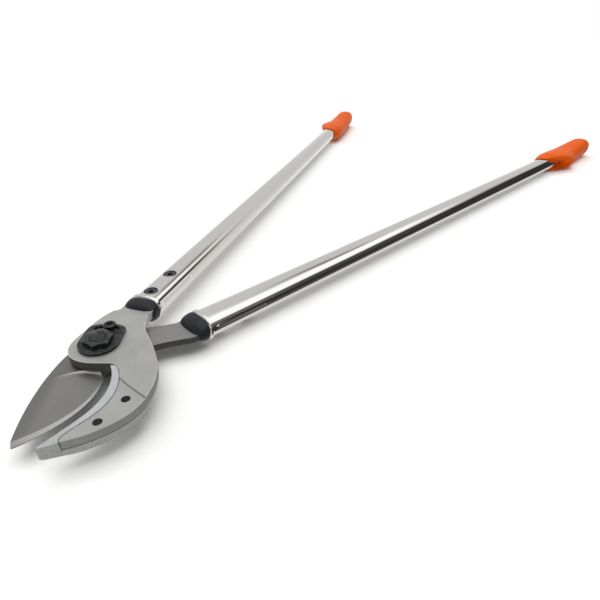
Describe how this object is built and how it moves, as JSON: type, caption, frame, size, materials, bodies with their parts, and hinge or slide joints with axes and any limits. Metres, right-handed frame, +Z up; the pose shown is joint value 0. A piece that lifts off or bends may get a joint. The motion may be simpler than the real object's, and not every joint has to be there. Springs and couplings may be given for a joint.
{
  "type": "lopper",
  "caption": "Long-handled anvil lopper with a bolted head, one curved blade closing on a raised anvil, oval polished tube handles and moulded grips.",
  "frame": {"origin": "on the pivot axis, at the underside of the pivot bolt's head, which is floor level", "axes": "+Z up along the pivot axis, +Y between the two handles from the pivot towards the grips, +X to the side of the anvil"},
  "size_m": [0.4947, 0.9436, 0.0315],
  "materials": {
    "blasted_alloy": "blasted",
    "cast_steel": "cast, pale",
    "satin_steel": "satin",
    "hard_steel": "ground",
    "black_oxide": "black oxide",
    "polished_aluminium": "polished",
    "black_plastic": "moulded, satin",
    "orange_rubber": "moulded, satin"
  },
  "bodies": {
    "anvil_lever": {"anvil": "cast_steel", "anvil_screw_1": "black_oxide", "anvil_screw_2": "black_oxide", "carrier": "blasted_alloy", "left_collar": "black_plastic", "left_grip": "orange_rubber", "left_tang_screw_1": "black_oxide", "left_tang_screw_2": "black_oxide", "left_tube": "polished_aluminium", "lock_plate": "black_oxide", "lock_screw": "black_oxide", "pivot_bolt": "black_oxide", "pivot_bush": "hard_steel", "pivot_nut": "black_oxide", "thrust_washer": "hard_steel"},
    "blade_lever": {"blade": "satin_steel", "right_tube": "polished_aluminium", "right_collar": "black_plastic", "right_grip": "orange_rubber", "right_tang_screw_1": "black_oxide", "right_tang_screw_2": "black_oxide"}
  },
  "joints": [
    {"name": "blade_pivot", "type": "hinge", "parent": "anvil_lever", "child": "blade_lever", "pos_m": [0, 0, 0.013], "axis": [0, 0, -1], "range_deg": [-15.5, 45]}
  ]
}
